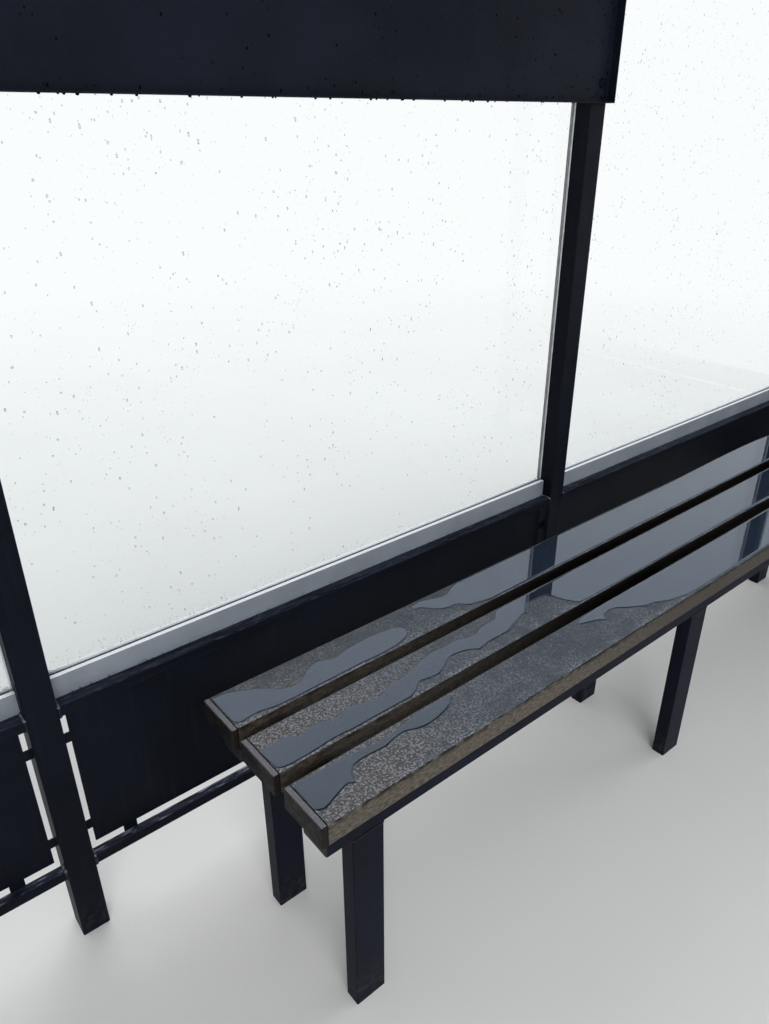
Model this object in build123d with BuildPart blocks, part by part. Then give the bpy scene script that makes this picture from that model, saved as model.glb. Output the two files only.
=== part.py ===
from build123d import *
import os
from math import cos, radians, sin, tan

# A three-bay shelter. X runs along the back wall, Y from the open front to the back wall, Z up.
# The origin is on the ground, in the middle of the shelter. Sizes are in millimetres.

# Frame of square tube
bay_clear = 1200  # clear width between two posts of the back wall
bay_count = 3
depth_clear = 1200  # clear depth between a front post and the back wall
post_width = 50
post_depth = 50
post_height = 2150
tube_corner = 3  # rounded corner of the welded tubes
beam_height = 50

# Wall below the glass
lower_rail_bottom = 154
lower_rail_height = 20
lower_rail_depth = 20
sill_rail_top = 515
sill_rail_height = 20
rail_corner = 2
panel_thickness = 2
panel_slot_side = 12  # open slot between a kick panel and a post
panel_slot_foot = 15  # open slot between a kick panel and the lower rail
panel_slot_head = 12  # open slot between a kick panel and the sill rail
side_tab_height = 20
side_tab_spread = 202  # between the centres of the two tabs on a panel's side
end_tab_width = 25
end_tab_inset = 64  # from a panel's side to the centre of a tab on its top or bottom edge

# Glass and the channels that hold it
channel_setback = 25  # from the inner face of the posts
channel_height = 40
head_channel_height = 20
channel_inner_leg = 9
channel_slot = 10
channel_base = 3
channel_edge = 1  # rounding of the top edges of the legs
glass_thickness = 6
gasket_thickness = 2.5  # between the inner leg and the glass
glass_side_gap = 5
glass_head_gap = 8

# Information tray across the middle bay
tray_bottom = 1378
tray_height = 500
tray_depth = 20
tray_sheet = 2
tray_bend = 3  # radius of the folded outer edges

# Bench
bench_length = 2000
bench_start = 208  # from the second post to the end of the slats
bench_wall_gap = 80
seat_height = 470
slat_width = 98
slat_thickness = 42
slat_gap = 27
slat_count = 3
slat_edge = 3
cap_thickness = 12
cap_edge = 1.2  # bevelled rim of a cap
bench_rail_width = 60
bench_rail_height = 30
front_rail_setback = 6  # behind the front edge of the front slat
rear_rail_inset = 40  # from the rear edge of the rear slat to the rear rail
leg_width = 60
leg_depth = 30
leg_inset = 87  # from the end of the slats to the middle of the first legs
trestle_count = 3

# Roof
roof_fall = 2.5  # degrees, down towards the back wall
rear_purlin_height = 10
purlin_width = 50
overhang = 60
sheet_thickness = 1.2
rib_pitch = 190
rib_height = 25
rib_top_width = 30
rib_slope_width = 20
fascia_height = 160
fascia_lip = 30
fascia_sheet = 2
fascia_clearance = 3  # between the sheet and the fascia

# Sizes that follow
bay_pitch = bay_clear + post_width
wall_length = bay_count * bay_pitch + post_width
half_length = wall_length / 2
wall_face = depth_clear / 2
half_depth = wall_face + post_depth
channel_depth = post_depth - channel_setback
panel_setback = lower_rail_depth - panel_thickness
lower_rail_top = lower_rail_bottom + lower_rail_height
sill_rail_bottom = sill_rail_top - sill_rail_height
beam_top = post_height + beam_height
middle_bay = bay_count // 2
second_post_face = -half_length + bay_pitch + post_width
bench_left = second_post_face + bench_start
bench_rear = wall_face - bench_wall_gap
slat_pitch = slat_width + slat_gap
bench_front = bench_rear - slat_count * slat_pitch + slat_gap
frame_top = seat_height - slat_thickness
leg_height = frame_top - bench_rail_height
front_rail_face = bench_front + front_rail_setback
rear_rail_back = bench_rear - rear_rail_inset
rear_rail_face = rear_rail_back - bench_rail_width
trestle_pitch = (bench_length - 2 * leg_inset) / (trestle_count - 1)
trestle_places = [bench_left + leg_inset + i * trestle_pitch for i in range(trestle_count)]

parts_folder = "parts"


def save(piece, label):
    """Label one finished piece and write it as its own file."""
    piece.label = label
    export_step(piece, os.path.join(parts_folder, label + ".step"))


def roof_seat(y):
    """Height of the underside of the roof sheet at the depth y."""
    return beam_top + rear_purlin_height + (half_depth - y) * tan(radians(roof_fall))


def bay_plane(x, y, along):
    """Plane of one wall bay: x along the wall, y outwards through it, z up."""
    return Plane(origin=(x, y, 0), x_dir=along, z_dir=(0, 0, 1))


def section_plane(bay):
    """Plane across a wall bay: x outwards through the wall, y up."""
    return Plane(origin=bay.origin, x_dir=bay.y_dir, z_dir=bay.x_dir)


def face_plane(bay, setback):
    """Plane on the wall's face: x along the wall, y up, at the depth setback."""
    return Plane(origin=bay.origin, x_dir=bay.x_dir, z_dir=-bay.y_dir).offset(-setback)


def post(x, y):
    """Square tube post that stands on the ground."""
    with BuildPart() as bar:
        with BuildSketch(Plane.XY):
            with Locations((x, y)):
                RectangleRounded(post_width, post_depth, tube_corner)
        extrude(amount=post_height)
    return bar.part


def rails(bays, length, depth, bottom, height):
    """Rails that run from post to post, flush with the inner faces of the posts."""
    with BuildPart() as bars:
        for bay in bays:
            with BuildSketch(section_plane(bay)):
                with Locations((depth / 2, bottom + height / 2)):
                    RectangleRounded(depth, height, rail_corner)
            extrude(amount=length)
    return bars.part


def channel_outline(foot, height):
    """U section with a heavy inner leg. A negative height gives the one that hangs from the head."""
    base = foot + (channel_base if height > 0 else -channel_base)
    ridge = foot + height
    inner = channel_setback + channel_inner_leg
    outer = inner + channel_slot
    return [
        (channel_setback, foot),
        (post_depth, foot),
        (post_depth, ridge),
        (outer, ridge),
        (outer, base),
        (inner, base),
        (inner, ridge),
        (channel_setback, ridge),
    ]


def glazing_channels(bays, length):
    """The channel on the sill rail and the channel below the head beam, for each bay."""
    with BuildPart() as channels:
        for bay in bays:
            for foot, height in ((sill_rail_top, channel_height), (post_height, -head_channel_height)):
                ridge = foot + height
                with BuildSketch(section_plane(bay)) as profile:
                    with BuildLine():
                        Polyline(*channel_outline(foot, height), close=True)
                    make_face()
                    corners = [v for v in profile.vertices() if abs(v.Y - ridge) < channel_edge / 2]
                    fillet(corners, radius=channel_edge)
                extrude(amount=length)
    return channels.part


def kick_panel(bay, length):
    """Sheet held in its frame by small tabs, with an open slot all round."""
    opening_height = sill_rail_bottom - lower_rail_top
    opening_middle = lower_rail_top + opening_height / 2
    width = length - 2 * panel_slot_side
    foot = lower_rail_top + panel_slot_foot
    head = sill_rail_bottom - panel_slot_head
    end_tab_reach = width - 2 * end_tab_inset
    with BuildPart() as panel:
        with BuildSketch(face_plane(bay, panel_setback)):
            with Locations((length / 2, (foot + head) / 2)):
                Rectangle(width, head - foot)
            with Locations((length / 2, opening_middle)):
                with GridLocations(1, side_tab_spread, 1, 2):
                    Rectangle(length, side_tab_height)
                with GridLocations(end_tab_reach, 1, 2, 1):
                    Rectangle(end_tab_width, opening_height)
        extrude(amount=-panel_thickness)
    return panel.part


def glass_pane(bay, length):
    """Toughened glass that stands on the base of its channel."""
    bottom = sill_rail_top + channel_base
    top = post_height - channel_base - glass_head_gap
    setback = channel_setback + channel_inner_leg + gasket_thickness
    with BuildPart() as pane:
        with BuildSketch(face_plane(bay, setback)):
            with Locations((length / 2, (bottom + top) / 2)):
                Rectangle(length - 2 * glass_side_gap, top - bottom)
        extrude(amount=-glass_thickness)
    return pane.part


def beam_along_x(y):
    """Head beam over a row of posts, over the whole length."""
    with BuildPart() as beam:
        with BuildSketch(Plane.YZ.offset(-half_length)):
            with Locations((y, post_height + beam_height / 2)):
                RectangleRounded(post_depth, beam_height, tube_corner)
        extrude(amount=wall_length)
    return beam.part


def beams_along_y(places):
    """Head beams between the front beam and the back beam."""
    with BuildPart() as beams:
        with BuildSketch(Plane.XZ.offset(-wall_face)):
            with Locations(*[(x, post_height + beam_height / 2) for x in places]):
                RectangleRounded(post_width, beam_height, tube_corner)
        extrude(amount=depth_clear)
    return beams.part


def purlins(places):
    """Bars on the head frame whose tops follow the fall of the roof."""
    with BuildPart() as bars:
        with BuildSketch(Plane.YZ.offset(-half_length)):
            for y in places:
                front = y - purlin_width / 2
                back = y + purlin_width / 2
                with BuildLine():
                    Polyline(
                        (front, beam_top),
                        (back, beam_top),
                        (back, roof_seat(back)),
                        (front, roof_seat(front)),
                        close=True,
                    )
                make_face()
        extrude(amount=wall_length)
    return bars.part


def roof_sheet():
    """Ribbed sheet with its ribs down the fall."""
    half_sheet = half_length + overhang - fascia_clearance
    front_edge = -half_depth - overhang + fascia_clearance
    back_edge = half_depth + overhang
    rib_count = int((2 * half_sheet - rib_pitch / 2) // rib_pitch)
    half_top = rib_top_width / 2
    half_foot = half_top + rib_slope_width
    outline = [(-half_sheet, 0)]
    for i in range(rib_count):
        x = (i - (rib_count - 1) / 2) * rib_pitch
        outline.append((x - half_foot, 0))
        outline.append((x - half_top, rib_height))
        outline.append((x + half_top, rib_height))
        outline.append((x + half_foot, 0))
    outline.append((half_sheet, 0))
    top_line = [(x, z + sheet_thickness) for x, z in reversed(outline)]
    slope = radians(roof_fall)
    fall_plane = Plane(
        origin=(0, back_edge, roof_seat(back_edge)),
        x_dir=(1, 0, 0),
        z_dir=(0, -cos(slope), sin(slope)),
    )
    with BuildPart() as sheet:
        with BuildSketch(fall_plane):
            with BuildLine():
                Polyline(*outline, *top_line, close=True)
            make_face()
        extrude(amount=(back_edge - front_edge) / cos(slope))
    return sheet.part


def fascia_outline(inner, side):
    """C section that stands off the head beam by the overhang and closes the gap below."""
    outer = inner + side * overhang
    lip = outer - side * fascia_lip
    face = outer - side * fascia_sheet
    top = post_height + fascia_height
    return [
        (inner, post_height),
        (outer, post_height),
        (outer, top),
        (lip, top),
        (lip, top - fascia_sheet),
        (face, top - fascia_sheet),
        (face, post_height + fascia_sheet),
        (inner, post_height + fascia_sheet),
    ]


def mitre_plane(side):
    """Upright plane through a front corner of the roof, at 45 degrees."""
    return Plane(
        origin=(side * (half_length + overhang), -half_depth - overhang, 0),
        x_dir=(0, 0, 1),
        z_dir=(-side, -1, 0),
    )


def front_fascia():
    with BuildPart() as fascia:
        with BuildSketch(Plane.YZ.offset(-half_length - overhang)):
            with BuildLine():
                Polyline(*fascia_outline(-half_depth, -1), close=True)
            make_face()
        extrude(amount=wall_length + 2 * overhang)
        for side in (-1, 1):
            split(bisect_by=mitre_plane(side), keep=Keep.TOP)
    return fascia.part


def side_fascia(side):
    with BuildPart() as fascia:
        with BuildSketch(Plane.XZ.offset(-half_depth - overhang)):
            with BuildLine():
                Polyline(*fascia_outline(side * half_length, side), close=True)
            make_face()
        extrude(amount=2 * (half_depth + overhang))
        split(bisect_by=mitre_plane(side), keep=Keep.BOTTOM)
    return fascia.part


def info_tray():
    """Folded tray across the middle bay, open towards the bench."""
    left = -half_length + middle_bay * bay_pitch
    width = bay_pitch + post_width
    centre = (left + width / 2, tray_bottom + tray_height / 2)
    with BuildPart() as tray:
        with BuildSketch(Plane.XZ.offset(-wall_face)):
            with Locations(centre):
                Rectangle(width, tray_height)
        extrude(amount=tray_depth)
        back_edges = tray.edges().group_by(Axis.Y)[-1]
        fillet(back_edges, radius=tray_bend)
        mouth = tray.faces().sort_by(Axis.Y)[0]
        offset(amount=-tray_sheet, openings=mouth)
    return tray.part


def slat(rear_edge):
    """One seat slat between its end caps, with rounded long edges."""
    with BuildPart() as board:
        with BuildSketch(Plane.YZ.offset(bench_left + cap_thickness)):
            with Locations((rear_edge - slat_width / 2, seat_height - slat_thickness / 2)):
                RectangleRounded(slat_width, slat_thickness, slat_edge)
        extrude(amount=bench_length - 2 * cap_thickness)
    return board.part


def slat_end_caps(rear_edges):
    """A cap on each end of each slat, with a bevelled rim that leaves a groove at the joint."""
    with BuildPart() as caps:
        for start in (bench_left, bench_left + bench_length - cap_thickness):
            with BuildSketch(Plane.YZ.offset(start)):
                for rear_edge in rear_edges:
                    with Locations((rear_edge - slat_width / 2, seat_height - slat_thickness / 2)):
                        RectangleRounded(slat_width, slat_thickness, slat_edge)
            extrude(amount=cap_thickness)
        rims = caps.edges().filter_by(lambda edge: abs(edge.bounding_box().size.X) < cap_edge / 2)
        chamfer(rims, length=cap_edge)
    return caps.part


def bench_rail(face):
    """Long rail below the slats, as long as the slats without their caps."""
    with BuildPart() as rail:
        with BuildSketch(Plane.YZ.offset(bench_left + cap_thickness)):
            with Locations((face + bench_rail_width / 2, frame_top - bench_rail_height / 2)):
                RectangleRounded(bench_rail_width, bench_rail_height, rail_corner)
        extrude(amount=bench_length - 2 * cap_thickness)
    return rail.part


def bench_crossbars():
    """Short bars between the two long rails, over the legs."""
    start = front_rail_face + bench_rail_width
    with BuildPart() as bars:
        with BuildSketch(Plane.XZ.offset(-start)):
            with Locations(*[(x, frame_top - bench_rail_height / 2) for x in trestle_places]):
                RectangleRounded(leg_width, bench_rail_height, rail_corner)
        extrude(amount=start - rear_rail_face)
    return bars.part


def bench_legs(face):
    """A row of legs whose front faces lie in one plane."""
    with BuildPart() as legs:
        with BuildSketch(Plane.XY):
            with Locations(*[(x, face + leg_depth / 2) for x in trestle_places]):
                RectangleRounded(leg_width, leg_depth, rail_corner)
        extrude(amount=leg_height)
    return legs.part


os.makedirs(parts_folder, exist_ok=True)

# Posts
post_places = [-half_length + post_width / 2 + i * bay_pitch for i in range(bay_count + 1)]
for number, x in enumerate(post_places, start=1):
    save(post(x, wall_face + post_depth / 2), f"back_post_{number}")
save(post(post_places[0], -wall_face - post_depth / 2), "front_post_left")
save(post(post_places[-1], -wall_face - post_depth / 2), "front_post_right")

# Wall bays, each with its length
back_bays = [bay_plane(x + post_width / 2, wall_face, (1, 0, 0)) for x in post_places[:-1]]
inner_end = half_length - post_width
walls = {
    "back": (back_bays, bay_clear),
    "left": ([bay_plane(-inner_end, -wall_face, (0, 1, 0))], depth_clear),
    "right": ([bay_plane(inner_end, wall_face, (0, -1, 0))], depth_clear),
}
for wall, (bays, length) in walls.items():
    lower = rails(bays, length, lower_rail_depth, lower_rail_bottom, lower_rail_height)
    sill = rails(bays, length, post_depth, sill_rail_bottom, sill_rail_height)
    save(lower, f"{wall}_lower_rail")
    save(sill, f"{wall}_sill_rail")
    save(glazing_channels(bays, length), f"{wall}_glazing_channels")
    for number, bay in enumerate(bays, start=1):
        ending = f"_{number}" if len(bays) > 1 else ""
        save(kick_panel(bay, length), f"{wall}_kick_panel{ending}")
        save(glass_pane(bay, length), f"{wall}_glass{ending}")

# Head frame and roof
save(beam_along_x(wall_face + post_depth / 2), "back_head_beam")
save(beam_along_x(-wall_face - post_depth / 2), "front_head_beam")
save(beams_along_y([post_places[0]]), "left_head_beam")
save(beams_along_y([post_places[-1]]), "right_head_beam")
save(beams_along_y(post_places[1:-1]), "roof_rafters")
purlin_reach = half_depth - purlin_width / 2
save(purlins([-purlin_reach, 0, purlin_reach]), "roof_purlins")
save(roof_sheet(), "roof_sheet")
save(front_fascia(), "front_fascia")
save(side_fascia(-1), "left_fascia")
save(side_fascia(1), "right_fascia")

# Information tray
save(info_tray(), "info_tray")

# Bench
slat_edges = [bench_rear - i * slat_pitch for i in range(slat_count)]
for name, edge in zip(("rear_slat", "middle_slat", "front_slat"), slat_edges):
    save(slat(edge), name)
save(slat_end_caps(slat_edges), "slat_end_caps")
save(bench_rail(front_rail_face), "bench_front_rail")
save(bench_rail(rear_rail_face), "bench_rear_rail")
save(bench_crossbars(), "bench_crossbars")
save(bench_legs(front_rail_face), "bench_front_legs")
save(bench_legs(rear_rail_face), "bench_rear_legs")
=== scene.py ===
import math
import random
from dataclasses import dataclass
from functools import partial

import bmesh
import bpy
from mathutils import Matrix, Vector, noise


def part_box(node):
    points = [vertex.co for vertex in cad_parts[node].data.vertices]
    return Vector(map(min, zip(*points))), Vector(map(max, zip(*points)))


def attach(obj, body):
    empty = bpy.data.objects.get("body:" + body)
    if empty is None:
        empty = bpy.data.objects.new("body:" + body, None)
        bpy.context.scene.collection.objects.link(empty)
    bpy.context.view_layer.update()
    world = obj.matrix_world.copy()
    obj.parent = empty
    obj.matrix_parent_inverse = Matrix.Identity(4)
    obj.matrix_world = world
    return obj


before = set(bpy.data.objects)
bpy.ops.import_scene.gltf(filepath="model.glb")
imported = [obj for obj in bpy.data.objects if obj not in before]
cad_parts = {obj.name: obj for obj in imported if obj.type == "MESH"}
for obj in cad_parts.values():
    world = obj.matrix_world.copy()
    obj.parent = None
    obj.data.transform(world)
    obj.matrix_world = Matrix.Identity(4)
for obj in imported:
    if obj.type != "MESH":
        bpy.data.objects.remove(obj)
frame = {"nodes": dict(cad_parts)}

bl_info = {
    "name": "Bus Shelter Finish",
    "version": (1, 0, 0),
    "blender": (4, 5, 0),
    "location": "View3D > Sidebar > Shelter",
    "description": "Finishes, glazing trim, fixings and rain for a three-bay bus shelter",
    "category": "Object",
}

BODY = "root"
MM = 0.001
X, Y, UP = Vector((1, 0, 0)), Vector((0, 1, 0)), Vector((0, 0, 1))
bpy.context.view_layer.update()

SIDE_GAP = 5 * MM  # between a pane and a post
TUBE_CORNER = 3 * MM

WALLS = ("back", "left", "right")
BAYS = {"back": ("back_1", "back_2", "back_3"), "left": ("left",), "right": ("right",)}
SLATS = ("rear_slat", "middle_slat", "front_slat")

# Stretches that make a pattern run along one axis.
ALONG_X = (0.05, 1, 1)
ALONG_Y = (1, 0.05, 1)
UPRIGHT = (1, 1, 0.05)


def linear(code):
    """An sRGB hex value as linear RGBA."""
    channels = [int(code[i : i + 2], 16) / 255 for i in (0, 2, 4)]
    return tuple(c / 12.92 if c <= 0.04045 else ((c + 0.055) / 1.055) ** 2.4 for c in channels) + (1.0,)


colour = partial(bpy.props.FloatVectorProperty, subtype="COLOR", size=4, min=0, max=1)
length = partial(bpy.props.FloatProperty, unit="LENGTH", min=0)
number = partial(bpy.props.IntProperty, min=0)


class ShelterColours(bpy.types.PropertyGroup):
    frame: colour(name="Frame", description="Powder coat of posts and rails", default=linear("080b13"))
    bench: colour(name="Bench", description="Powder coat of the bench frame", default=linear("0a0c18"))
    tray: colour(name="Tray", description="Powder coat of the information tray", default=linear("11141d"))
    dirt: colour(name="Dirt", description="Dirt splashed up from the ground", default=linear("3b3831"))
    rust: colour(name="Rust", description="Rust at the lowest welds", default=linear("5a3520"))
    channel: colour(name="Channel", description="Dull face of the glazing channels", default=linear("7f868e"))
    # This colour is a painted highlight: the sky mirrored in the tops of the channels.
    ridge_highlight: colour(name="Ridge", description="Painted highlight on the channel tops", default=linear("f4f4fb"))
    board: colour(name="Board", description="Wet tops of the slats", default=linear("565b63"))
    # This colour is painted glints: pale specks that stand for beaded water catching the light.
    glints: colour(name="Bloom", description="Pale bloom on the slats", default=linear("8b8f96"))
    side: colour(name="Board side", description="Sides of the slats", default=linear("3e3a35"))
    mould: colour(name="Mould", description="Dark spots on the slats", default=linear("1b1713"))
    cap: colour(name="End cap", description="Ends of the slats", default=linear("131114"))
    film: colour(name="Film", description="Board seen through standing water", default=linear("242b35"))
    roof: colour(name="Roof", description="Zinc coating of the roof sheet", default=linear("9aa1a6"))
    glass: colour(name="Glass", description="Clear glass", default=linear("fafdfd"))
    water: colour(name="Water", description="Raindrops", default=linear("cfd8de"))
    rubber: colour(name="Rubber", description="Glazing gaskets", default=linear("3a4050"))
    seal: colour(name="Seal", description="Silicone round the panes", default=linear("eef2f2"))
    floor: colour(name="Floor", description="Plain studio floor", default=linear("dededb"))


class ShelterSizes(bpy.types.PropertyGroup):
    weld: length(name="Weld", description="Leg of a fillet weld on the frame", default=6 * MM)
    bench_weld: length(name="Bench weld", description="Leg of a fillet weld on the bench", default=3 * MM)
    bolt: length(name="Tray bolt", description="Diameter of a tray bolt's head", default=17 * MM)
    screw: length(name="Roof screw", description="Width across flats of a roof screw", default=8 * MM)
    film: length(name="Film", description="Thickness of the water on the slats", default=1.2 * MM)
    glass_drops: number(name="Pane drops", description="Raindrops on each pane", default=6000)
    drip_drops: number(name="Drip line", description="Drops along the foot of each pane", default=700)
    slat_drops: number(name="Slat drops", description="Raindrops on each slat", default=800)
    tray_drops: number(name="Tray drops", description="Raindrops on the tray", default=420)
    hanging_drops: number(name="Hanging drops", description="Drops below the tray", default=34)


def node(tree, kind, inputs=None, **settings):
    """Adds a node with its settings. The kind is its type without ShaderNode.

    An input is a value, a socket, or a node for its first output.
    """
    made = tree.nodes.new("ShaderNode" + kind)
    for name, value in settings.items():
        setattr(made, name, value)
    for key, value in (inputs or {}).items():
        socket = made.inputs[key]
        if isinstance(key, str):
            socket = next(s for s in made.inputs if s.name == key and s.enabled)
        if isinstance(value, bpy.types.Node):
            value = next(s for s in value.outputs if s.enabled)
        if isinstance(value, bpy.types.NodeSocket):
            tree.links.new(value, socket)
        else:
            socket.default_value = value
    return made


def material(name, surface, *values, over=None):
    """A material whose look comes from surface(tree, where, *values), with where in metres.

    That gives its base colour, the layers over it, each with the share that it covers and its
    colour, and the other inputs of the shader. Then over(tree, shader) may add to the shader.
    """
    made = bpy.data.materials.new(name)
    made.use_nodes = True
    tree = made.node_tree
    tree.nodes.clear()
    where = node(tree, "TexCoord").outputs["Object"]
    skin, layers, finish = surface(tree, where, *values)
    for share, tint in layers:
        skin = node(tree, "Mix", {"Factor": share, "A": skin, "B": tint}, data_type="RGBA")
    shader = node(tree, "BsdfPrincipled", {"Base Color": skin, **finish})
    if over:
        shader = over(tree, shader)
    node(tree, "OutputMaterial", {"Surface": shader})
    return made


def covered(tree, where, size, low, high, most=1.0, detail=4.0):
    """Share of a surface under soft patches of about this size: none below low, and most above high."""
    cloud = node(tree, "TexNoise", {"Vector": where, "Scale": 1 / size, "Detail": detail})
    limits = {"Value": cloud, "From Min": low, "From Max": high, "To Max": most}
    return node(tree, "MapRange", limits, interpolation_type="SMOOTHSTEP")


def rising(tree, where, axis, start, end, most=1.0):
    """Share that rises from 0 to most while the part of where along the axis goes from start to end."""
    place = node(tree, "SeparateXYZ", {0: where}).outputs[axis]
    limits = {"Value": place, "From Min": start, "From Max": end, "To Max": most}
    return node(tree, "MapRange", limits, interpolation_type="SMOOTHSTEP")


def facing(tree, axis, low, high, most=1.0):
    """Share that is most on faces that look along the axis, from low to high of their normal's part."""
    return rising(tree, node(tree, "NewGeometry").outputs["Normal"], axis, low, high, most)


def relief(tree, where, size, depth, detail=2.0, strength=1.0):
    """Normal of a surface with uneven relief of about this size and depth."""
    cloud = node(tree, "TexNoise", {"Vector": where, "Scale": 1 / size, "Detail": detail})
    return node(tree, "Bump", {"Height": cloud, "Distance": depth, "Strength": strength})


def powder_coat(tree, where, colours, skin, run):
    """Steel tube and sheet under satin powder coat.

    The eye sees a near-black blue with faint runs of rain, and a little dirt near the ground. On faces
    that look up, a bluish painted sheen stands for the sky mirrored in the wet paint, and pale streaks
    are partly dried salt and partly painted sheen, palest and bluish-white low down.
    """
    lines = node(tree, "Mapping", {"Vector": where, "Scale": run})
    short = node(tree, "Mapping", {"Vector": where, "Scale": [share**0.6 for share in run]})
    paler_tint = tuple(min(1.0, 1.9 * channel) for channel in skin)
    tops = partial(facing, tree, "Z", 0.75, 0.95)
    # Pale streaks on the tops: dried salt with painted sheen, bluish-white low down, where the wet lower
    # rails mirror the sky.
    splashed = {"Factor": rising(tree, where, "Z", 0.4, 0.2), "A": linear("4c4f53"), "B": linear("8d96ac")}
    salt_and_sheen = node(tree, "Mix", splashed, data_type="RGBA")
    low = rising(tree, where, "Z", 0.11, 0.0, 0.45)
    layers = (
        (covered(tree, where, 180 * MM, 0.35, 0.7, 0.6), paler_tint),
        (covered(tree, lines, 7 * MM, 0.52, 0.75, 0.3, 2), linear("191c26")),  # runs of rain
        (covered(tree, lines, 9 * MM, 0.3, 0.6, tops(0.8)), linear("2c303e")),  # painted sheen: the sky mirrored in wet tops
        # dried salt and painted sheen
        (covered(tree, short, 5 * MM, 0.53, 0.68, tops(0.65), 5), salt_and_sheen),
        (covered(tree, where, 14 * MM, 0.45, 0.68, low, 6), colours.dirt),
    )
    wet = covered(tree, lines, 12 * MM, 0.4, 0.6, tops())
    rough = node(tree, "Mix", {"Factor": wet, "A": 0.5, "B": 0.22})
    # Orange peel is mostly finer than the render shows, so it is drawn coarser, at 3 mm.
    peel = relief(tree, where, 3 * MM, 0.15 * MM, 1, 0.4)
    return skin, layers, {"Roughness": rough, "Specular IOR Level": 0.07, "Normal": peel}


def extruded_aluminium(tree, where, colours, run):
    """Mill-finish aluminium, extruded and weathered.

    The eye sees a dull grey face with faint draw lines along its length, darker patches at its foot, and
    bright tops, a painted highlight of the sky that they mirror.
    """
    lines = node(tree, "Mapping", {"Vector": where, "Scale": run})
    # Draw lines are finer than the render shows, so they are drawn coarser, at 2 mm.
    drawn = covered(tree, lines, 2 * MM, 0.45, 0.8, 0.2, 2)
    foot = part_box("back_glazing_channels")[0].z
    near_foot = rising(tree, where, "Z", foot + 7 * MM, foot, 0.9)
    layers = (
        (covered(tree, where, 90 * MM, 0.3, 0.7), linear("747b83")),
        (drawn, linear("969ca4")),
        (covered(tree, where, 6 * MM, 0.54, 0.66, near_foot, 5), linear("25272d")),  # darker near the foot
        # Painted highlight on the tops: the sky mirrored in them.
        (facing(tree, "Z", 0.35, 0.8), colours.ridge_highlight),
    )
    rough = node(tree, "Mix", {"Factor": drawn, "A": 0.5, "B": 0.35})
    scored = relief(tree, lines, 2 * MM, 0.03 * MM, 2, 0.2)
    return colours.channel, layers, {"Metallic": 0.1, "Roughness": rough, "Normal": scored}


def lets_light_through(tree, shader, shade):
    """The same shader, but shadow rays pass and take on the shade."""
    shadow = node(tree, "LightPath").outputs["Is Shadow Ray"]
    clear = node(tree, "BsdfTransparent", {"Color": shade})
    return node(tree, "MixShader", {0: shadow, 1: shader, 2: clear})


def float_glass(tree, where, colours):
    """Float glass, toughened. The eye sees it clear, with a little haze in patches.

    Its IOR is lowered from 1.5, because the white studio would mirror the bench in it far more
    than a dull day does.
    """
    haze = covered(tree, where, 35 * MM, 0.5, 0.8, 0.01, 6)
    return colours.glass, (), {"Roughness": haze, "IOR": 1.15, "Transmission Weight": 1.0}


def rain_on_glass(tree, where, colours):
    """Rain water in beads. The eye sees small clear lenses with a dark rim and a bright spot."""
    layers = [(covered(tree, where, 4 * MM, 0.3, 0.7), linear("eaf0f3"))]
    return colours.water, layers, {"Roughness": 0.0, "IOR": 1.333, "Transmission Weight": 1.0}


def standing_water(tree, where, colours):
    """A thin sheet of rain water on dark board.

    The eye sees a smooth bluish mirror over dark wet board. Near the bench's left end a dark reflection
    is painted into the colour, near black towards the front, and a dark line of painted reflection runs
    where its edge curls down towards the front. The mirror is stronger than that of pure water,
    because the open sky is brighter than the white of the studio.
    """
    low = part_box("front_slat")[0]
    # Painted dark reflection: near the bench's left end the water turns near black towards the front.
    darker_towards_front = rising(tree, where, "Y", low.y + 0.25, low.y + 0.05)
    painted_dark_reflection = node(tree, "Mix", {"Factor": darker_towards_front, "A": colours.film, "B": linear("05070a")}, data_type="RGBA")
    board = linear("232d3b")
    for share, tint in (
        (rising(tree, where, "X", low.x + 0.9, low.x + 0.1), painted_dark_reflection),
        (covered(tree, where, 70 * MM, 0.3, 0.7, 0.4), linear("222c38")),  # clouds
        (covered(tree, where, 12 * MM, 0.5, 0.7, 0.15), linear("2f3843")),  # mottle
    ):
        board = node(tree, "Mix", {"Factor": share, "A": board, "B": tint}, data_type="RGBA")
    # The rim, its dark front, which is painted reflection, and what is seen through the level part.
    layers = [(facing(tree, "Y", 0.2, -0.1), linear("08080a")), (facing(tree, "Z", 0.95, 0.998), board)]
    finish = {"Roughness": 0.03, "IOR": 1.65, "Specular IOR Level": 1.0, "Specular Tint": linear("d2e3fb")}
    finish["Normal"] = relief(tree, where, 35 * MM, 0.1 * MM, 1, 0.25)
    return linear("4d5158"), layers, finish


def beaded_rain(tree, where, dark, pale, shine):
    """Rain water in beads. The eye sees what lies below, darker or paler, with a bright spot on each."""
    layers = [(covered(tree, where, 6 * MM, 0.4, 0.6), linear(pale))]
    return linear(dark), layers, {"Roughness": 0.05, "IOR": 1.333, "Specular IOR Level": shine}


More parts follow.
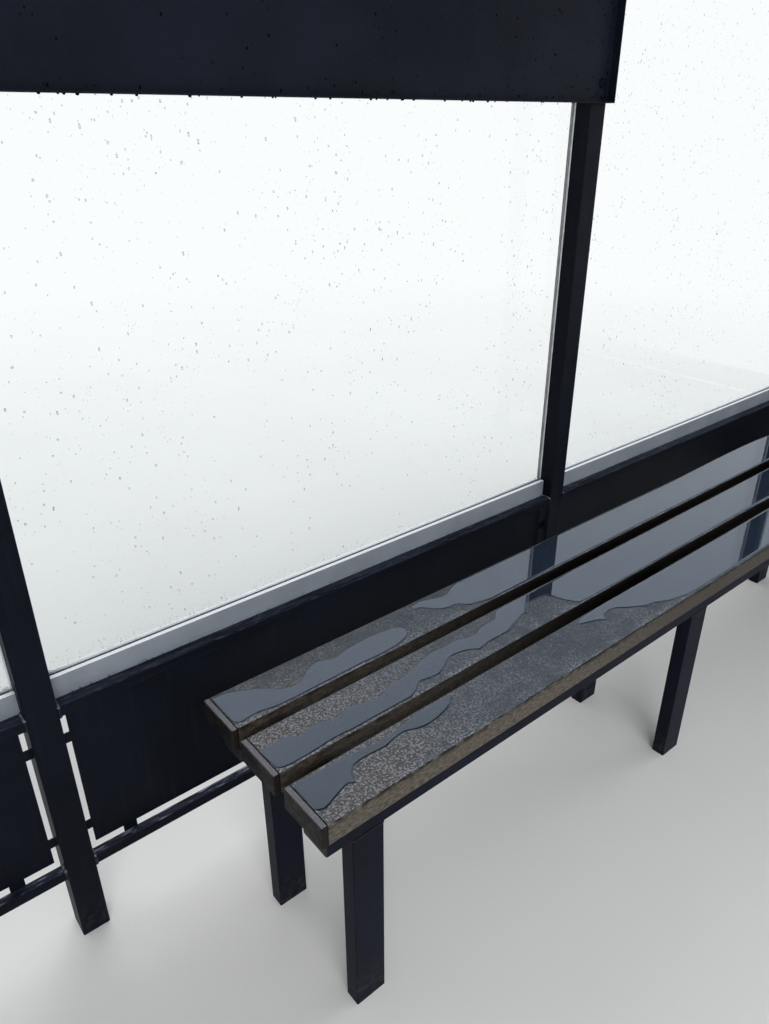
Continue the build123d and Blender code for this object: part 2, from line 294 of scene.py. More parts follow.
def composite_board(tree, where, colours):
    """Wood-plastic composite board, extruded, brushed and soaked.

    The eye sees cool grey wet tops with fine pale specks, painted glints of beaded water, strongest
    along the front edges, and warmer near the bench's left end; dark speckled sides with painted shade,
    darker towards the right and darkest between the slats; and ragged mould along the upper arrises.
    """
    grain = node(tree, "Mapping", {"Vector": where, "Scale": (0.4, 1, 1)})
    low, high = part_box("front_slat")
    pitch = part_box("middle_slat")[0].y - low.y
    along, back, upward = (partial(rising, tree, where, axis) for axis in "XYZ")
    between = partial(back, low.y + 8 * MM, low.y + 20 * MM)
    # Painted shade in the gaps between the slats, deepest towards the right.
    gap_shade = along(low.x + 0.1, low.x + 0.8, between(0.96))
    crest = upward(high.z - 14 * MM, high.z - 3 * MM, 0.95)
    arris = along(low.x + 0.25, low.x + 0.6, upward(high.z - 5 * MM, high.z - 2.5 * MM, 0.85))
    # Brush marks are finer than the render shows, so they are drawn coarser, at 4 mm.
    side = colours.side
    for share, tint in (
        (covered(tree, grain, 4 * MM, 0.36, 0.68, 1.0, 6), linear("5f584e")),
        # Painted shade: the sides darken towards the right and, most of all, between the slats.
        (along(low.x + 0.4, low.x + 1.0, 0.65), linear("2c2926")),
        (between(0.45), linear("1d1815")),
        (gap_shade, linear("070606")),
        (covered(tree, grain, 7 * MM, 0.42, 0.58, crest, 6), colours.mould),
        (covered(tree, grain, 14 * MM, 0.3, 0.5, arris), colours.mould),
    ):
        side = node(tree, "Mix", {"Factor": share, "A": side, "B": tint}, data_type="RGBA")
    trodden = back(low.y + 3.2 * pitch, low.y + 1.6 * pitch, 0.85)
    near_end = along(low.x + 0.35, low.x + 0.1, trodden)
    bare = along(low.x + 0.5, low.x + 0.05, trodden)
    across = node(tree, "SeparateXYZ", {0: where}).outputs["Y"]
    from_edge = node(tree, "Math", {0: across, 1: low.y}, operation="SUBTRACT")
    from_edge = node(tree, "Math", {0: from_edge, 1: pitch}, operation="MODULO")
    limits = {"Value": from_edge, "From Min": 18 * MM, "From Max": 4 * MM, "To Min": 0.4, "To Max": 1.0}
    # Pale specks on the tops are painted glints of beaded water, most near the front edge of each slat.
    glint_share = covered(tree, where, 45 * MM, 0.38, 0.6, node(tree, "MapRange", limits))
    top = linear("43484f")
    for share, tint in (
        (covered(tree, where, 3 * MM, 0.4, 0.65, 1.0, 3), colours.board),  # grit
        (covered(tree, where, 60 * MM, 0.3, 0.55, near_end), linear("504d4c")),  # warm patches
        (covered(tree, where, 3.5 * MM, 0.46, 0.62, bare, 5), linear("8d8c90")),  # painted glints of beaded water
        (covered(tree, where, 3.5 * MM, 0.42, 0.7, glint_share, 4), colours.glints),
    ):
        top = node(tree, "Mix", {"Factor": share, "A": top, "B": tint}, data_type="RGBA")
    up = facing(tree, "Z", 0.6, 0.9)
    dry = node(tree, "Mix", {"Factor": gap_shade, "A": 0.1, "B": 0.0})
    gloss = node(tree, "Mix", {"Factor": up, "A": dry, "B": 0.1})
    brushed = relief(tree, where, 3 * MM, 0.3 * MM, 4, 0.4)
    return side, [(up, top)], {"Roughness": 0.45, "Specular IOR Level": gloss, "Normal": brushed}


def moulded_cap(tree, where, colours):
    """Moulded composite end cap.

    The eye sees dark brown ends, nearly black faces towards the front, a paler, greyer top strip,
    and a dark joint against the board.
    """
    grain = covered(tree, where, 2.5 * MM, 0.4, 0.65, 1.0, 5)
    paler_tint = {"Factor": grain, "A": linear("5f5e63"), "B": linear("7e7c82")}
    low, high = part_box("front_slat")
    middle, seam = (low.x + high.x) / 2, (high.x - low.x) / 2
    along = node(tree, "SeparateXYZ", {0: where}).outputs["X"]
    from_middle = node(tree, "Math", {0: along, 1: middle}, operation="SUBTRACT")
    from_middle = node(tree, "Math", {0: from_middle}, operation="ABSOLUTE")
    limits = {"Value": from_middle, "From Min": seam + 2.6 * MM, "From Max": seam + 2.0 * MM}
    layers = (
        (covered(tree, where, 9 * MM, 0.34, 0.58, 0.95, 6), colours.cap),
        (facing(tree, "Y", -0.7, -0.9, 0.95), colours.mould),
        (facing(tree, "Z", 0.6, 0.9), node(tree, "Mix", paler_tint, data_type="RGBA")),
        (node(tree, "MapRange", limits), linear("0d0c0c")),  # joint
    )
    pitted = relief(tree, where, 2.5 * MM, 0.25 * MM, 4, 0.5)
    return linear("2b2825"), layers, {"Roughness": 0.5, "Specular IOR Level": 0.08, "Normal": pitted}


def zinc_coated_sheet(tree, where, colours):
    """Zinc-coated steel sheet, roll formed. The eye sees pale grey with faint spangle and runs."""
    lines = node(tree, "Mapping", {"Vector": where, "Scale": ALONG_Y})
    spangle = node(tree, "TexVoronoi", {"Vector": where, "Scale": 1 / (14 * MM)}).outputs["Color"]
    grey = node(tree, "RGBToBW", {0: spangle})
    layers = [(grey, linear("adb3b7")), (covered(tree, lines, 16 * MM, 0.5, 0.8, 0.5), linear("70756f"))]
    rough = node(tree, "Mix", {"Factor": grey, "A": 0.42, "B": 0.56})
    return colours.roof, layers, {"Metallic": 0.7, "Roughness": rough}


def extruded_rubber(tree, where, colours):
    """Extruded EPDM rubber. The eye sees a dark, dull strip, a little chalky with age."""
    layers = [(covered(tree, where, 8 * MM, 0.5, 0.8, 0.5), linear("565d6e"))]
    return colours.rubber, layers, {"Roughness": 0.7, "Specular IOR Level": 0.2}


def run_in_silicone(tree, where, colours, clear):
    """Silicone, run in by hand. The eye sees a faint line by the posts, and a white one at the foot."""
    layers = [(covered(tree, where, 25 * MM, 0.3, 0.7), linear("f8faff"))]
    finish = {"Roughness": 0.3, "IOR": 1.2, "Transmission Weight": clear}
    finish["Normal"] = relief(tree, where, 12 * MM, 0.2 * MM, 2, 0.4)
    return colours.seal, layers, finish


def coated_weld(tree, where, colours, dust_and_highlight):
    """Fillet weld under powder coat. The eye sees a rippled bead, with dust and a painted highlight on
    top, and rust low down.
    """
    layers = (
        # Lighter on top: dust with a painted highlight.
        (covered(tree, where, 5 * MM, 0.36, 0.56, facing(tree, "Z", 0.2, 0.7, dust_and_highlight)), linear("767986")),
        (covered(tree, where, 7 * MM, 0.5, 0.62, rising(tree, where, "Z", 0.25, 0.1, 0.8)), colours.rust),
    )
    rippled = relief(tree, where, 3 * MM, 0.3 * MM, 2, 0.6)
    return colours.frame, layers, {"Roughness": 0.45, "Specular IOR Level": 0.25, "Normal": rippled}


def plated_steel(tree, where):
    """Zinc-plated steel. The eye sees a dull silver head with a few white rust specks."""
    layers = [(covered(tree, where, 1.5 * MM, 0.55, 0.7), linear("c9ccca"))]
    return linear("9b9fa3"), layers, {"Metallic": 0.9, "Roughness": 0.42}


def moulded_plug(tree, where):
    """Black polyethylene plug, moulded. The eye sees a dull black insert in the end of each tube."""
    # Moulded grain is finer than the render shows, so it is drawn coarser, at 1.2 mm.
    layers = [(covered(tree, where, 1.2 * MM, 0.4, 0.7, 0.6), linear("1f2126"))]
    grained = relief(tree, where, 1.2 * MM, 0.1 * MM, 2, 0.4)
    return linear("101114"), layers, {"Roughness": 0.55, "Specular IOR Level": 0.3, "Normal": grained}


def studio_floor(tree, where, colours):
    """Matt floor paint. The eye sees a plain pale floor."""
    layers = [(covered(tree, where, 0.7, 0.3, 0.7, 0.3), linear("d6d6d3"))]
    return colours.floor, layers, {"Roughness": 0.8, "Specular IOR Level": 0.2}


def fades_out(tree, shader):
    """The same shader, but what is seen of it turns to the white of the background far away."""
    where = node(tree, "TexCoord").outputs["Object"]
    away = node(tree, "VectorMath", {0: where}, operation="LENGTH").outputs["Value"]
    limits = {"Value": away, "From Min": 2.8, "From Max": 7.0}
    far = node(tree, "MapRange", limits, interpolation_type="SMOOTHSTEP")
    seen = node(tree, "Math", {0: far, 1: seen_share(tree)}, operation="MULTIPLY")
    white = node(tree, "Emission", {"Color": linear("ffffff"), "Strength": 1.0})
    return node(tree, "MixShader", {0: seen, 1: shader, 2: white})


def seen_share(tree):
    """1 for what the camera sees, straight, in gloss or through glass, and 0 for light."""
    path = node(tree, "LightPath")
    direct = {0: path.outputs["Is Camera Ray"], 1: path.outputs["Is Glossy Ray"]}
    seen = {0: node(tree, "Math", direct, operation="MAXIMUM"), 1: path.outputs["Is Transmission Ray"]}
    return node(tree, "Math", seen, operation="MAXIMUM")


def dress(names, finish):
    """Gives CAD nodes a finish in place of their plain material."""
    for name in names:
        mesh = frame["nodes"][name].data
        mesh.materials.clear()
        mesh.materials.append(finish)


def piece(name, parts, finish, smooth=True):
    """A new mesh piece of several closed parts, each points and faces, that rides on the shelter."""
    points, faces = [], []
    for more, sides in parts:
        start = len(points)
        points += [tuple(p) for p in more]
        faces += [tuple(start + i for i in side) for side in sides]
    mesh = bpy.data.meshes.new(name)
    mesh.from_pydata(points, [], faces)
    form = bmesh.new()
    form.from_mesh(mesh)
    bmesh.ops.recalc_face_normals(form, faces=form.faces)
    for face in form.faces:
        face.smooth = smooth and len(face.verts) < 12
    form.to_mesh(mesh)
    form.free()
    mesh.materials.append(finish)
    made = bpy.data.objects.new(name, mesh)
    bpy.context.scene.collection.objects.link(made)
    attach(made, BODY)


def swept(section, frames, closed=False):
    """Points and faces of a closed section carried through frames of an origin and two directions."""
    points = [origin + u * x + v * y for origin, u, v in frames for x, y in section]
    size, rows = len(section), len(frames)
    faces = []
    for i in range(rows if closed else rows - 1):
        here, there = i * size, (i + 1) % rows * size
        for j in range(size):
            k = (j + 1) % size
            faces.append((here + j, here + k, there + k, there + j))
    if not closed:
        faces.append(tuple(reversed(range(size))))
        faces.append(tuple(range(len(points) - size, len(points))))
    return points, faces


def turned(centre, across, up, axis, rings, sides=16):
    """A turned solid. Each ring is a radius and a height along the axis."""
    angles = [2 * math.pi * i / sides for i in range(sides)]
    round_section = [(math.cos(angle), math.sin(angle)) for angle in angles]
    frames = [(centre + axis * height, across * radius, up * radius) for radius, height in rings]
    return swept(round_section, frames)


def bead(centre, across, along, normal, wide, long, high, sides=6):
    """A closed bead of water on a surface."""
    points, faces = [], []
    for height, share in ((0.0, 1.0), (0.72, 0.74)):
        for s in range(sides):
            angle = 2 * math.pi * s / sides
            flat = across * (wide * share * math.cos(angle)) + along * (long * share * math.sin(angle))
            points.append(centre + flat + normal * (high * height))
    points.append(centre + normal * high)
    for s in range(sides):
        t = (s + 1) % sides
        faces.append((s, t, sides + t, sides + s))
        faces.append((sides + s, sides + t, 2 * sides))
    faces.append(tuple(reversed(range(sides))))
    return points, faces


def tube_outline(half_u, half_v, corner):
    """Outline of a rectangular tube with rounded corners, anticlockwise."""
    outline = []
    for u, v, start in ((1, 1, 0), (-1, 1, 90), (-1, -1, 180), (1, -1, 270)):
        for step in range(4):
            angle = math.radians(start + 30 * step)
            across = u * (half_u - corner) + corner * math.cos(angle)
            outline.append((across, v * (half_v - corner) + corner * math.sin(angle)))
    return outline


def weld_round(centre, u, v, half_u, half_v, axis, leg):
    """A rippled fillet weld round the end of a tube, as a closed bead that follows its outline."""
    outline = tube_outline(half_u, half_v, TUBE_CORNER)
    step, ripples = 2.5 * MM, 300
    frames = []
    for i, (x, y) in enumerate(outline):
        next_x, next_y = outline[(i + 1) % len(outline)]
        parts = max(1, round(math.hypot(next_x - x, next_y - y) / step))
        for k in range(parts):
            px, py = x + (next_x - x) * k / parts, y + (next_y - y) * k / parts
            spot = centre + u * px + v * py
            swell = leg * (0.5 + 0.2 * noise.noise(spot * ripples))
            away = (u * (px / half_u) ** 5 + v * (py / half_v) ** 5).normalized()
            frames.append((spot, away * swell, axis * swell))
    section = [(math.cos(math.pi * k / 3), math.sin(math.pi * k / 3)) for k in range(6)]
    return swept(section, frames, closed=True)


@dataclass
class Pane:
    """One pane of glass: its lower inner corner, and its directions and sizes in metres."""

    corner: Vector
    along: Vector
    outward: Vector
    length: float
    thickness: float
    height: float

    def at(self, a, d, z):
        """Point at a along the pane, d outwards from its inner face and z above its foot."""
        return self.corner + self.along * a + self.outward * d + UP * z


def pane(bay):
    """Reads a pane from its CAD node."""
    name = "back_glass_" + bay[-1] if bay.startswith("back") else bay + "_glass"
    low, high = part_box(name)
    size = high - low
    if size.x > size.y:
        return Pane(low, X, Y, size.x, size.y, size.z)
    if low.x > 0:
        return Pane(low, Y, X, size.y, size.x, size.z)
    return Pane(Vector((high.x, low.y, low.z)), Y, -X, size.y, size.x, size.z)


class ShelterOperator:
    """What the operators share."""

    bl_options = {"REGISTER", "UNDO"}

    @property
    def colours(self):
        return bpy.context.scene.shelter_colours

    @property
    def sizes(self):
        return bpy.context.scene.shelter_sizes


class SHELTER_OT_frame(ShelterOperator, bpy.types.Operator):
    """Finish the steel frame and add its welds"""

    bl_idname = "shelter.frame"
    bl_label = "Steel Frame"

    def execute(self, context):
        colours = self.colours
        posts = [f"back_post_{n}" for n in (1, 2, 3, 4)] + ["front_post_left", "front_post_right"]
        panels = [f"back_kick_panel_{n}" for n in (1, 2, 3)] + ["left_kick_panel", "right_kick_panel"]
        rails = [f"back_{part}" for part in ("lower_rail", "sill_rail", "head_beam")]
        rails += ["front_head_beam", "roof_purlins", "front_fascia"]
        parts = ("lower_rail", "sill_rail", "head_beam", "fascia")
        ends = [f"{wall}_{part}" for wall in ("left", "right") for part in parts]
        ends.append("roof_rafters")
        groups = (("posts", posts + panels, UPRIGHT), ("rails", rails, ALONG_X), ("end_rails", ends, ALONG_Y))
        for label, names, run in groups:
            paint = material(f"satin_powder_coated_{label}", powder_coat, colours, colours.frame, run)
            dress(names, paint)
        weld = material("coated_frame_weld", coated_weld, colours, 0.8)
        piece("frame_welds", self.welds(), weld)
        return {"FINISHED"}

    def welds(self):
        """Welds where the lower and sill rails meet the posts."""
        loops = []
        for wall in WALLS:
            run = 0 if wall == "back" else 1
            for bay in BAYS[wall]:
                glass = pane(bay)
                for part in ("lower_rail", "sill_rail"):
                    low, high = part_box(f"{wall}_{part}")
                    half = (high - low) / 2
                    for a, turn in ((-SIDE_GAP, 1), (glass.length + SIDE_GAP, -1)):
                        centre, out = (low + high) / 2, glass.along * turn
                        centre[run] = glass.at(a, 0, 0)[run]
                        centre += out * MM
                        depth, leg = half[1 - run], self.sizes.weld
                        loops.append(weld_round(centre, glass.outward, UP, depth, half.z, out, leg))
        return loops


class SHELTER_OT_glazing(ShelterOperator, bpy.types.Operator):
    """Finish the glass and its channels, and add gaskets, edge seals and sealant"""

    bl_idname = "shelter.glazing"
    bl_label = "Glazing"

    # In millimetres, the gap between glass and inner leg, and the channel's top above the glass's foot.
    leg_gap = 2.5
    channel_top = 37

    def strip(self, glass, section):
        """A strip along a pane. Its section is in millimetres, outwards and above the pane's foot."""
        outline = [(d * MM, z * MM) for d, z in section]
        return swept(outline, [(glass.at(a, 0, 0), glass.outward, UP) for a in (0, glass.length)])

    def gasket(self, glass):
        """Wedge gasket between the glass and the inner leg, with a flap that lies on the leg."""
        back, top = 0.1 - self.leg_gap, self.channel_top
        flap = [(-1.2, top + 0.9), (-2.6, top + 0.6), (-3.2, top + 0.2), (back, top + 0.1)]
        return self.strip(glass, [(back, 2), (-0.1, 2), (-0.1, top + 0.6), *flap])

    def head_gasket(self, glass):
        """Gasket between the glass and the inner leg of the head channel."""
        back, head = 0.1 - self.leg_gap, glass.height / MM
        wedge = [(back, head - 10), (-1.3, head - 11.2), (-0.1, head - 10)]
        return self.strip(glass, [(back, head - 2), *wedge, (-0.1, head - 2)])

    def edge_seal(self, glass, side):
        """Silicone in the gap between the glass and a post, with a hollow face on each side."""
        start = glass.length + 0.1 * MM if side > 0 else -0.1 * MM
        gap = SIDE_GAP - 0.2 * MM
        hollow = [0.9 * MM * math.sin(math.pi * k / 4) for k in range(5)]
        outer = glass.thickness + 1.2 * MM
        section = [(start + side * gap * k / 4, -1.2 * MM + hollow[k]) for k in range(5)]
        section += [(start + side * gap * k / 4, outer - hollow[k]) for k in (4, 3, 2, 1, 0)]
        foot = self.channel_top * MM
        run = glass.height - foot - 12 * MM
        heights = [foot + run * i / 40 for i in range(41)]
        return swept(section, [(glass.at(0, 0, z), glass.along, glass.outward) for z in heights])

    def outer_seal(self, glass):
        """White silicone between the glass and the outer leg, a pale band through the glass."""
        top, face = self.channel_top, glass.thickness / MM
        section = [(0.1, -8), (1.4, -8), (1.4, 0.1), (4.0, 0.1), (3.2, 1.0), (1.6, 1.9), (0.1, 2.4)]
        return self.strip(glass, [(face + d, top + z) for d, z in section])

    def sealant(self, glass, side):
        """A dab of silicone on the end of the channel's outer leg."""
        end = glass.length + SIDE_GAP if side > 0 else -SIDE_GAP
        rings = ((6.0, 0.05), (6.2, 1.0), (5.2, 2.2), (3.2, 3.0), (1.0, 3.3))
        centre = glass.at(end - side * 6.5 * MM, glass.thickness + 4.2 * MM, self.channel_top * MM)
        rings = [(r * MM, h * MM) for r, h in rings]
        return turned(centre, glass.along, glass.outward * 0.5, UP, rings, 12)

    def execute(self, context):
        colours = self.colours
        lit = partial(lets_light_through, shade=linear("f6f9f9"))
        clear = material("toughened_float_glass", float_glass, colours, over=lit)
        dress([f"back_glass_{n}" for n in (1, 2, 3)] + ["left_glass", "right_glass"], clear)
        for label, walls, run in (("back", WALLS[:1], ALONG_X), ("ends", WALLS[1:], ALONG_Y)):
            metal = material(f"mill_finish_aluminium_{label}", extruded_aluminium, colours, run)
            dress([f"{wall}_glazing_channels" for wall in walls], metal)
        rubber = material("extruded_epdm_rubber", extruded_rubber, colours)
        silicone = material("clear_silicone", run_in_silicone, colours, 0.85)
        white = material("white_silicone", run_in_silicone, colours, 0.0)
        for wall in WALLS:
            panes = [pane(bay) for bay in BAYS[wall]]
            strips = [form(p) for p in panes for form in (self.gasket, self.head_gasket)]
            piece(f"{wall}_gaskets", strips, rubber, smooth=False)
            edges = [(p, side) for p in panes for side in (-1, 1)]
            piece(f"{wall}_edge_seals", [self.edge_seal(*edge) for edge in edges], silicone)
            piece(f"{wall}_sealant", [self.sealant(*edge) for edge in edges], silicone)
            piece(f"{wall}_outer_seals", [self.outer_seal(p) for p in panes], white)
        return {"FINISHED"}


class SHELTER_OT_rain(ShelterOperator, bpy.types.Operator):
    """Scatter raindrops over the outer faces of the panes"""

    bl_idname = "shelter.rain"
    bl_label = "Rain on Glass"

    margin = 8 * MM  # bare strip along the sides of a pane
    head_margin = 20 * MM
    foot = 45 * MM  # lowest drops of the shower, above the pane's foot
    drip_foot = 41 * MM
    drip_height = 20 * MM

    def execute(self, context):
        lit = partial(lets_light_through, shade=linear("eef2f4"))
        water = material("rain_water_on_glass", rain_on_glass, self.colours, over=lit)
        for seed, bay in enumerate(bay for wall in WALLS for bay in BAYS[wall]):
            glass = pane(bay)
            chance = random.Random(seed)
            drops = self.shower(glass, chance, seed) + self.drip_line(glass, chance)
            piece(f"{bay}_raindrops", drops, water)
        return {"FINISHED"}

    def shower(self, glass, chance, seed):
        """Drops over the whole pane, denser towards the top and in drifts."""
        drops = []
        while len(drops) < self.sizes.glass_drops:
            a = chance.uniform(self.margin, glass.length - self.margin)
            z = self.foot + (glass.height - self.foot - self.head_margin) * chance.random() ** 0.8
            drift = noise.noise(Vector((a * 6 + seed * 7, z * 4, seed)))
            if chance.random() > 0.5 + 0.8 * drift:
                continue
            wide = (0.5 + 1.4 * chance.random() ** 4) * MM
            tall = wide * (1 + chance.random() ** 2)
            drops.append(self.drop(glass, a, z, wide, tall))
        return drops

    def drip_line(self, glass, chance):
        """Small drops thrown up from the channel's outer leg."""
        drops = []
        for _ in range(self.sizes.drip_drops):
            a = chance.uniform(self.margin, glass.length - self.margin)
            z = self.drip_foot + self.drip_height * chance.random() ** 2
            wide = (0.4 + 0.7 * chance.random() ** 2) * MM
            drops.append(self.drop(glass, a, z, wide, wide))
        return drops

    def drop(self, glass, a, z, wide, tall):
        """A drop on the outer face of the pane."""
        centre = glass.at(a, glass.thickness + 0.03 * MM, z)
        return bead(centre, glass.along, UP, glass.outward, wide, tall, wide * 0.6)


# Outlines of the water on each slat, in millimetres from the slat's left end and its front edge. Most of
# the points were read by eye from the photograph in pixels, and another program turned them to
# millimetres. The rest, such as corners and what lies past the photograph, were chosen.
WATER = {
    "front_slat": [
        [(13, 94), (13, 89), (13, 34), (17, 28), (28, 26), (42, 31), (65, 39), (79, 42), (89, 37),
         (91, 47), (103, 63), (117, 68), (142, 68), (173, 66), (188, 70), (215, 72), (226, 68),
         (239, 63), (264, 61), (298, 67), (326, 79), (329, 93), (291, 94), (248, 92), (216, 86),
         (181, 82), (143, 85), (108, 89), (60, 92), (19, 94)],
        [(683, 94), (671, 82), (693, 73), (714, 65), (723, 57), (734, 70), (752, 74), (777, 68),
         (791, 56), (808, 47), (825, 37), (850, 31), (877, 18), (909, 11), (942, 4.5), (1400, 4.5),
         (1860, 4.5), (1984, 20), (1984, 94), (1500, 94), (1000, 94)],
    ],
    "middle_slat": [
        [(14, 60), (14, 14), (20, 7), (34, 4.5), (73, 4.5), (112, 7), (131, 7), (152, 5), (210, 5),
         (256, 4.5), (281, 5), (299, 13), (315, 25), (337, 21), (360, 20), (386, 32), (405, 42),
         (425, 41), (449, 34), (465, 24), (490, 28), (540, 28), (554, 29), (574, 38), (594, 43),
         (609, 49), (624, 46), (640, 65), (657, 70), (678, 67), (698, 65), (707, 57), (713, 38),
         (723, 20), (736, 4.5), (1300, 4.5), (1900, 4.5), (1984, 30), (1984, 88), (1700, 94),
         (1200, 94), (628, 94), (599, 94), (577, 90), (556, 74), (537, 73), (513, 71), (492, 63),
         (468, 66), (446, 72), (416, 72), (385, 74), (355, 68), (332, 61), (308, 55), (282, 52),
         (255, 47), (234, 40), (209, 44), (186, 50), (171, 50), (147, 45), (123, 53), (93, 53),
         (79, 47), (68, 58), (51, 61), (34, 58)],
    ],
    "rear_slat": [
        [(13, 93), (13, 88), (13, 20), (16, 13), (24, 9), (40, 11), (63, 11), (85, 6), (114, 4.5),
         (150, 4.5), (198, 5), (231, 5), (266, 6), (300, 4.5), (334, 5), (369, 10), (397, 25),
         (396, 47), (356, 59), (313, 61), (270, 57), (243, 51), (206, 63), (176, 50), (155, 35),
         (125, 36), (94, 62), (62, 81), (40, 91), (19, 93)],
        [(456, 86), (458, 74), (469, 72), (486, 54), (498, 43), (512, 37), (522, 35), (533, 35),
         (543, 29), (553, 18), (578, 10), (605, 4.5), (1200, 4.5), (1880, 4.5), (1984, 26), (1984, 94),
         (1300, 94), (590, 94), (568, 88), (543, 76), (520, 79), (492, 90), (467, 91)],
    ],
}


def smooth_line(corners, spacing=3.0):
    """A closed smooth line through the corners, with points at about this spacing."""
    line = []
    total = len(corners)
    for i in range(total):
        a, b, c, d = (Vector(corners[(i + k) % total]) for k in (-1, 0, 1, 2))
        before, here, after = (b - a).length, (c - b).length, (d - c).length
        leaving = (c - a) * here / (before + here)
        arriving = (d - b) * here / (here + after)
        steps = max(1, round(here / spacing))
        for t in (k / steps for k in range(steps)):
            middle = 3 * t**2 - 2 * t**3
            line.append(b + (c - b) * middle + leaving * t * (1 - t) ** 2 - arriving * t**2 * (1 - t))
    return line


def drawn_in(line, by):
    """The closed line moved inwards in small steps, eased at each so that it doesn't cross itself."""
    steps = math.ceil(by / 0.3)
    for _ in range(steps):
        moved = []
        for a, b, c in zip(line[-1:] + line[:-1], line, line[1:] + line[:1]):
            along = (c - a).normalized()
            moved.append(b.lerp((a + c) / 2, 0.3) + Vector((-along.y, along.x)) * by / steps)
        line = moved
    return line


def inside(point, line):
    """True if the point lies within the closed line."""
    crossings = 0
    for a, b in zip(line, line[1:] + line[:1]):
        if (a.y > point.y) != (b.y > point.y):
            crossings += point.x < (b.x - a.x) * (point.y - a.y) / (b.y - a.y) + a.x
    return crossings % 2 == 1


@dataclass
class Slat:
    """Top of a slat, for what lies on it: its box without the caps, and where its left cap begins."""

    low: Vector
    high: Vector
    end: float

    def at(self, x, y, z=0.0):
        """Point x along the slat and y back from its front edge, in millimetres, and z above its top."""
        return Vector((self.end + x * MM, self.low.y + y * MM, self.high.z + z))


def water_sheet(line, slat, thickness):
    """A sheet of water with a rounded rim, as points and faces."""
    if sum(a.x * b.y - b.x * a.y for a, b in zip(line, line[1:] + line[:1])) < 0:
        line = line[::-1]
    total = len(line)
    rim = ((0.0, 0.0), (0.5, 0.45), (0.8, 0.75), (1.0, 0.93), (1.2, 1.0))
    points, faces = [], []
    for inset, rise in rim:
        if inset:
            line = drawn_in(line, inset)
        points += [slat.at(spot.x, spot.y, 0.02 * MM + thickness * rise) for spot in line]
    for r in range(len(rim) - 1):
        for i in range(total):
            j = (i + 1) % total
            faces.append((r * total + i, r * total + j, (r + 1) * total + j, (r + 1) * total + i))
    faces.append(tuple(reversed(range(total))))
    faces.append(tuple(range(len(points) - total, len(points))))
    return points, faces


class SHELTER_OT_bench(ShelterOperator, bpy.types.Operator):
    """Finish the bench and add the water on its slats, its plugs and its welds"""

    bl_idname = "shelter.bench"
    bl_label = "Bench"

    def execute(self, context):
        colours = self.colours
        rails = ["bench_front_rail", "bench_rear_rail", "bench_crossbars"]
        legs = ["bench_front_legs", "bench_rear_legs"]
        for label, names, run in (("rails", rails, ALONG_X), ("legs", legs, UPRIGHT)):
            paint = material(f"satin_powder_coated_bench_{label}", powder_coat, colours, colours.bench, run)
            dress(names, paint)
        dress(SLATS, material("brushed_composite_board", composite_board, colours))
        dress(["slat_end_caps"], material("moulded_composite_cap", moulded_cap, colours))
        film = material("standing_rain_water", standing_water, colours)
        drops = material("rain_water_on_board", beaded_rain, "4a4d52", "7d8187", 0.5)
        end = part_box("slat_end_caps")[0].x
        for seed, name in enumerate(SLATS):
            slat = Slat(*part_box(name), end)
            lines = [smooth_line(corners) for corners in WATER[name]]
            piece(f"{name}_water", [water_sheet(line, slat, self.sizes.film) for line in lines], film)
            piece(f"{name}_raindrops", self.drops(slat, lines, seed), drops)
        black = material("moulded_polyethylene_plug", moulded_plug)
        piece("bench_rail_plugs", self.plugs(), black, smooth=False)
        weld = material("coated_bench_weld", coated_weld, colours, 0.0)
        piece("bench_welds", self.welds(), weld)
        return {"FINISHED"}

    def drops(self, slat, lines, seed):
        """Raindrops on the bare parts of a slat."""
        chance = random.Random(seed)
        run, deep = (slat.high.x - slat.low.x) / MM, (slat.high.y - slat.low.y) / MM
        first = (slat.low.x - slat.end) / MM
        drops = []
        while len(drops) < self.sizes.slat_drops:
            spot = Vector((first + 4 + (run - 8) * chance.random(), chance.uniform(4, deep - 4)))
            wide = (0.5 + 1.0 * chance.random() ** 3) * MM
            if not any(inside(spot, line) for line in lines):
                long = wide * chance.uniform(1, 1.6)
                drops.append(bead(slat.at(*spot, 0.02 * MM), X, Y, UP, long, wide, wide * 0.4))
        return drops

    def plugs(self):
        """Plugs in the ends of the two long rails."""
        parts = []
        for name in ("bench_front_rail", "bench_rear_rail"):
            low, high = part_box(name)
            middle, half = (low + high) / 2, (high - low) / 2
            section = tube_outline(half.y, half.z, TUBE_CORNER)
            for x, out in ((low.x, -1), (high.x, 1)):
                frames = []
                for share, rise in ((1.0, 0.05), (1.0, 1.2), (0.95, 1.9), (0.8, 2.2)):
                    centre = Vector((x + out * rise * MM, middle.y, middle.z))
                    frames.append((centre, Y * share, UP * share))
                parts.append(swept(section, frames))
        return parts

    def welds(self):
        """Welds round the tops of the legs."""
        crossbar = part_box("bench_crossbars")
        loops = []
        for name in ("bench_front_legs", "bench_rear_legs"):
            low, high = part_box(name)
            wide, deep = 2 * (crossbar[1].z - crossbar[0].z), high.y - low.y
            for i in range(3):
                x = low.x + wide / 2 + i * (high.x - low.x - wide) / 2
                centre = Vector((x, (low.y + high.y) / 2, high.z - MM))
                leg = self.sizes.bench_weld
                loops.append(weld_round(centre, X, Y, wide / 2, deep / 2, UP, leg))
        return loops


